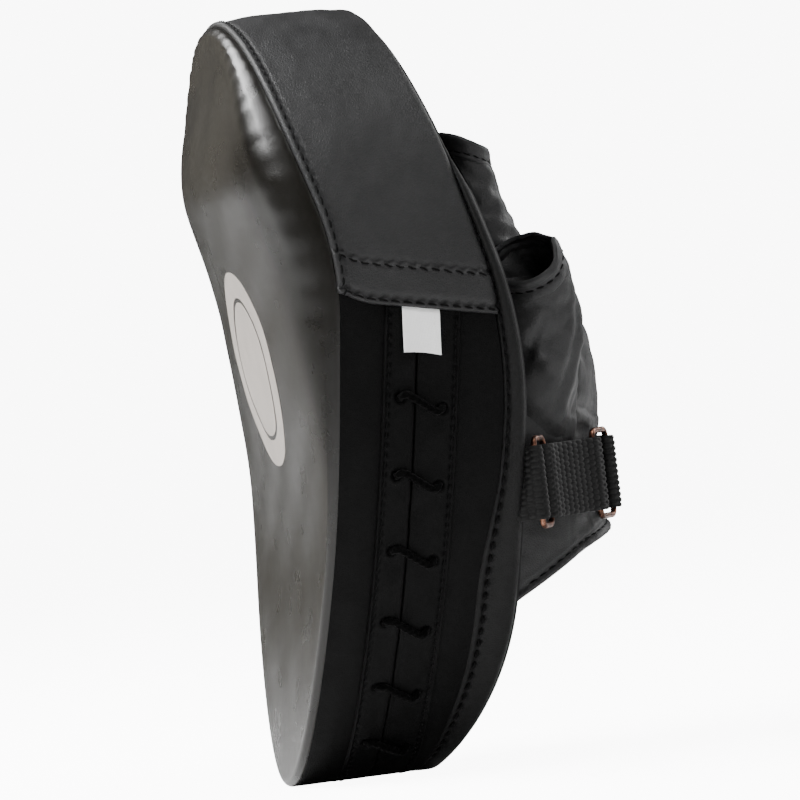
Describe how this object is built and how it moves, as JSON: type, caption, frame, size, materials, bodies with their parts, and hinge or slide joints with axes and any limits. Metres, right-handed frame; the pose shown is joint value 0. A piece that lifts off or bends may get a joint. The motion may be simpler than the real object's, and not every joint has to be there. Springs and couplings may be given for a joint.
{
  "type": "focus mitt",
  "caption": "Curved boxing focus mitt with a padded striking face, laced side wall, finger and thumb sleeves and a ringed wrist strap.",
  "frame": {"origin": "on the floor plane under the middle of the mitt: half way across its width and depth, level with the lowest point of the heel", "axes": "+Z from the heel to the fingertips, -Y out of the striking face, +Y out of the back of the hand, +X towards the thumb and the laced side"},
  "size_m": [0.1742, 0.1266, 0.2562],
  "materials": {
    "face_leather": "smooth coated, satin",
    "target_print": "flat print",
    "eva_foam": "closed-cell foam",
    "core_foam": "dense foam",
    "soft_foam": "open-cell foam",
    "board": "rigid sheet",
    "side_leather": "fine grain, matte",
    "band_leather": "pebbled grain, satin",
    "tongue_fabric": "woven",
    "lace": "waxed cord",
    "label": "satin tape",
    "glove_leather": "soft grain, satin",
    "hem_leather": "smooth, satin",
    "webbing": "coarse weave",
    "hook_and_loop": "hook and loop",
    "ring_metal": "antique copper plated wire"
  },
  "bodies": {
    "mitt": {"face_panel": "face_leather", "target_print": "target_print", "front_foam": "eva_foam", "core_foam": "core_foam", "palm_grip_core": "core_foam", "rear_foam": "soft_foam", "backing_board": "board", "back_panel": "side_leather", "far_side_wall": "side_leather", "front_side_strip": "side_leather", "rear_side_strip": "side_leather", "lacing_flap_front": "side_leather", "lacing_flap_rear": "side_leather", "top_band": "band_leather", "lacing_tongue": "tongue_fabric", "side_lace": "lace", "size_label": "label", "hand_cover": "glove_leather", "wrist_cuff": "glove_leather", "thumb_sleeve": "glove_leather", "index_sleeve": "glove_leather", "middle_sleeve": "glove_leather", "ring_sleeve": "glove_leather", "little_sleeve": "glove_leather", "palm_grip_cover": "glove_leather", "far_anchor_patch": "glove_leather", "thumb_hem": "hem_leather", "index_hem": "hem_leather", "middle_hem": "hem_leather", "ring_hem": "hem_leather", "little_hem": "hem_leather", "strap_anchor_tab": "webbing", "main_strap": "webbing", "loop_patch": "hook_and_loop"},
    "near_ring": {"near_ring": "ring_metal"},
    "link_strap": {"link_strap": "webbing"},
    "far_ring": {"far_ring": "ring_metal"},
    "strap_end": {"strap_end": "webbing", "hook_patch": "hook_and_loop"}
  },
  "joints": [
    {"name": "near_ring_swing", "type": "hinge", "parent": "mitt", "child": "near_ring", "pos_m": [0.079, 0.02436, 0.0923], "axis": [0, 0, -1], "range_deg": [0, 90]},
    {"name": "link_strap_swing", "type": "hinge", "parent": "near_ring", "child": "link_strap", "pos_m": [0.07, 0.02936, 0.0923], "axis": [0, 0, -1], "range_deg": [0, 50]},
    {"name": "far_ring_swing", "type": "hinge", "parent": "link_strap", "child": "far_ring", "pos_m": [0.052, 0.04986, 0.0923], "axis": [0, 0, -1], "range_deg": [0, 50]},
    {"name": "strap_end_peel", "type": "hinge", "parent": "far_ring", "child": "strap_end", "pos_m": [0.0386, 0.05726, 0.0923], "axis": [0, 0, -1], "range_deg": [0, 100]}
  ]
}
